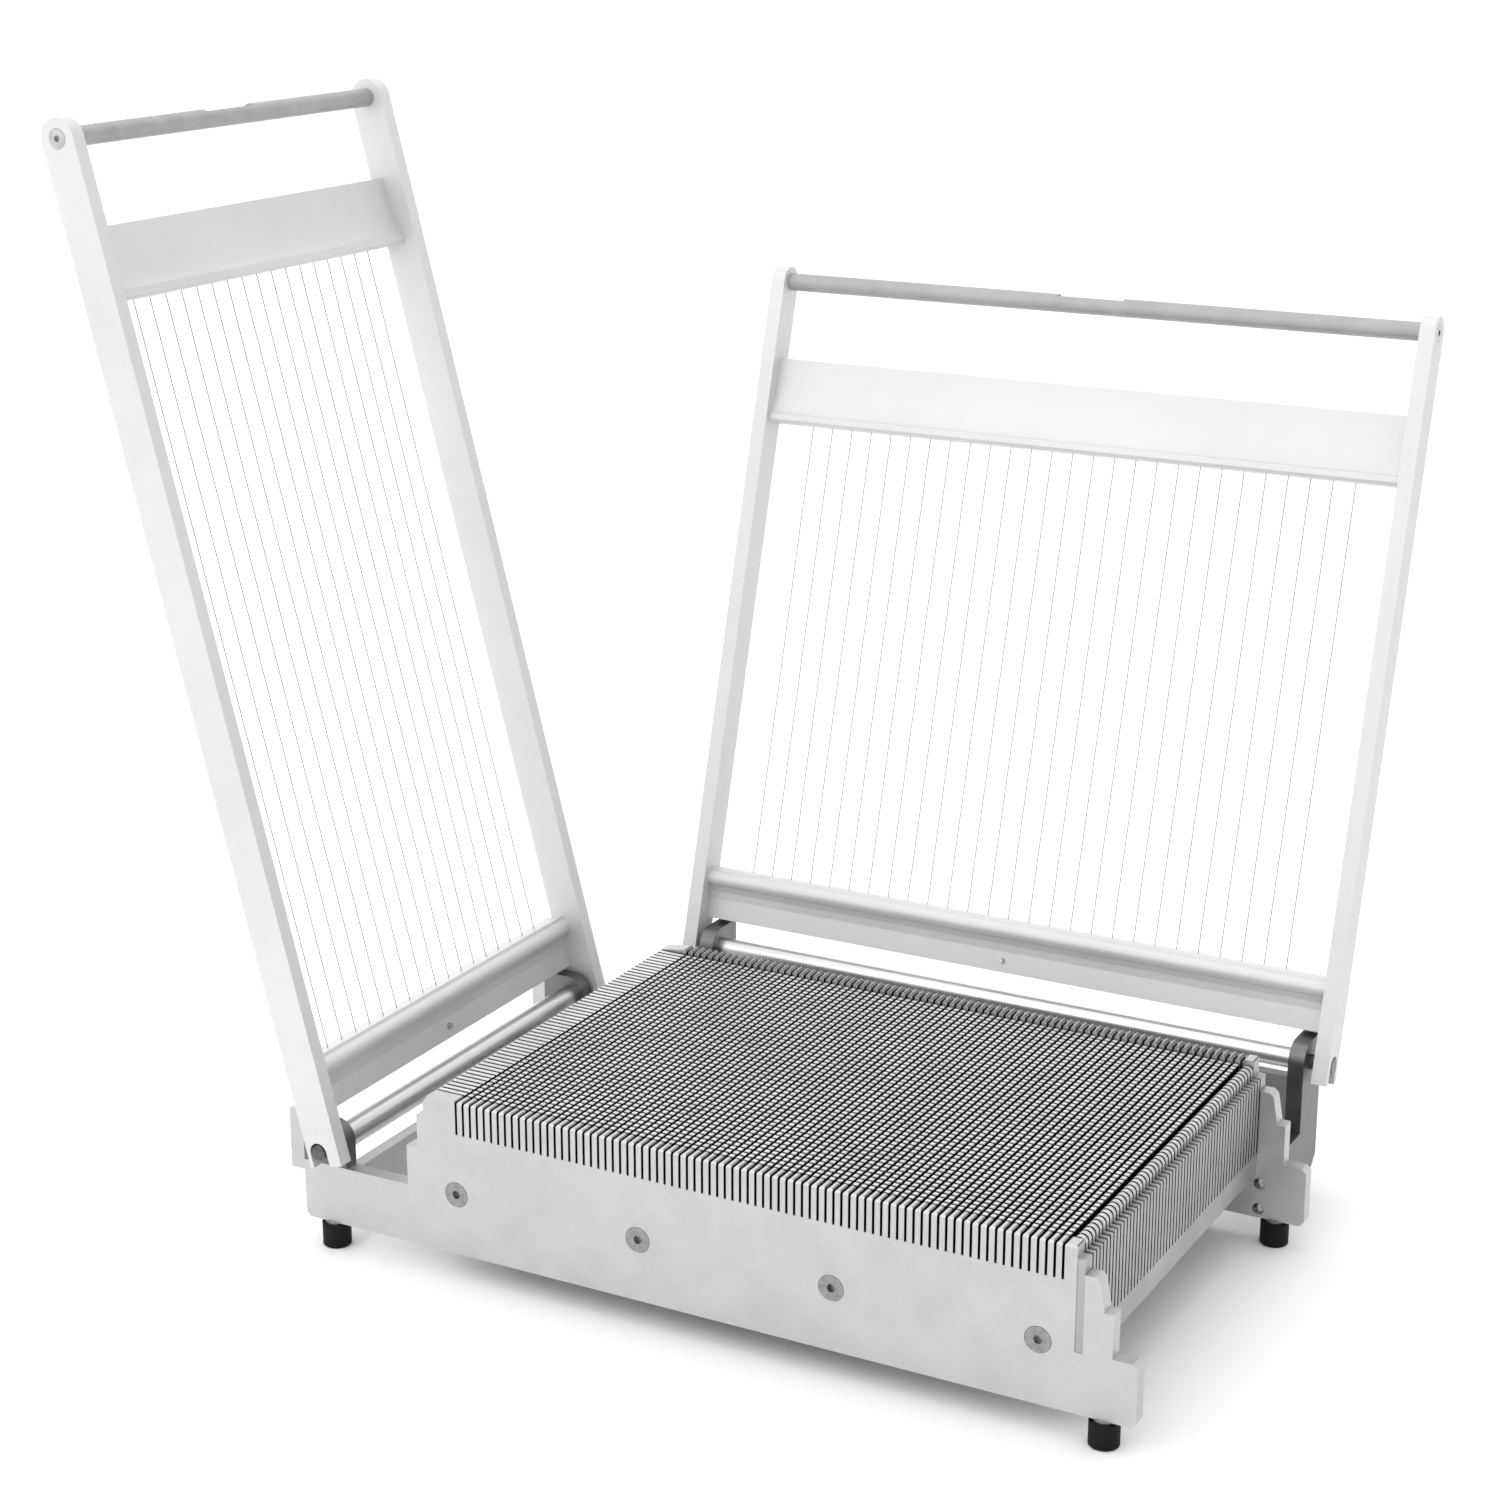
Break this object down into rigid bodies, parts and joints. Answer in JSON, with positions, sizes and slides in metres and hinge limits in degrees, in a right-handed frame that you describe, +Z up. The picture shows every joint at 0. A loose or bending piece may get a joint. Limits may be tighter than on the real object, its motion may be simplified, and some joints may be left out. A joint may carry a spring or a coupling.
{
  "type": "double wire cutter",
  "caption": "Table-top wire cutter with a slotted metal bed and two hinged frames of taut wires, hinged at the left and the rear, each with a crossbar and a round handle.",
  "frame": {"origin": "centre of the bounding box, on the surface under the feet", "axes": "+X to the right along the front plate, +Y from the front plate to the rear frame, +Z up"},
  "size_m": [0.702, 0.5102, 0.6897],
  "materials": {
    "bed_aluminium": "bead blasted, satin",
    "frame_aluminium": "bead blasted, satin",
    "handle_aluminium": "matte anodised",
    "bracket_steel": "matte",
    "rod_steel": "turned",
    "stainless_steel": "satin",
    "stainless_wire": "drawn",
    "foot_rubber": "matte"
  },
  "bodies": {
    "base": {"front_plate": "bed_aluminium", "rear_plate": "bed_aluminium", "front_slats": "bed_aluminium", "middle_slats": "bed_aluminium", "rear_slats": "bed_aluminium", "tie_rails": "bed_aluminium", "left_comb": "bed_aluminium", "edge_bar": "bed_aluminium", "right_comb": "bed_aluminium", "front_screws": "stainless_steel", "rear_screws": "stainless_steel", "rubber_feet": "foot_rubber", "foot_washers": "stainless_steel", "foot_studs": "stainless_steel", "left_near_bracket": "bracket_steel", "left_far_bracket": "bracket_steel", "left_hinge_rod": "rod_steel", "left_pivot_pins": "stainless_steel", "left_bracket_screws": "stainless_steel", "left_tie_plate": "bed_aluminium", "left_end_blocks": "bed_aluminium", "rear_left_bracket": "bracket_steel", "rear_right_bracket": "bracket_steel", "rear_hinge_rod": "rod_steel", "rear_pivot_pins": "stainless_steel", "rear_bracket_screws": "stainless_steel", "rear_tie_plate": "bed_aluminium"},
    "left_frame": {"left_near_arm": "frame_aluminium", "left_far_arm": "frame_aluminium", "left_lower_crossbar": "frame_aluminium", "left_upper_crossbar": "frame_aluminium", "left_handle": "handle_aluminium", "left_handle_screws": "stainless_steel", "left_crossbar_stud": "stainless_steel", "left_wire_set": "stainless_wire"},
    "rear_frame": {"rear_left_arm": "frame_aluminium", "rear_right_arm": "frame_aluminium", "rear_lower_crossbar": "frame_aluminium", "rear_upper_crossbar": "frame_aluminium", "rear_handle": "handle_aluminium", "rear_handle_screws": "stainless_steel", "rear_crossbar_stud": "stainless_steel", "rear_wire_set": "stainless_wire"}
  },
  "joints": [
    {"name": "left_frame_hinge", "type": "hinge", "parent": "base", "child": "left_frame", "pos_m": [-0.18454, -0.09632, 0.069], "axis": [0, 1, 0], "range_deg": [0, 104.6]},
    {"name": "rear_frame_hinge", "type": "hinge", "parent": "base", "child": "rear_frame", "pos_m": [0.10596, 0.11488, 0.0955], "axis": [1, 0, 0], "range_deg": [0, 106.2]}
  ]
}
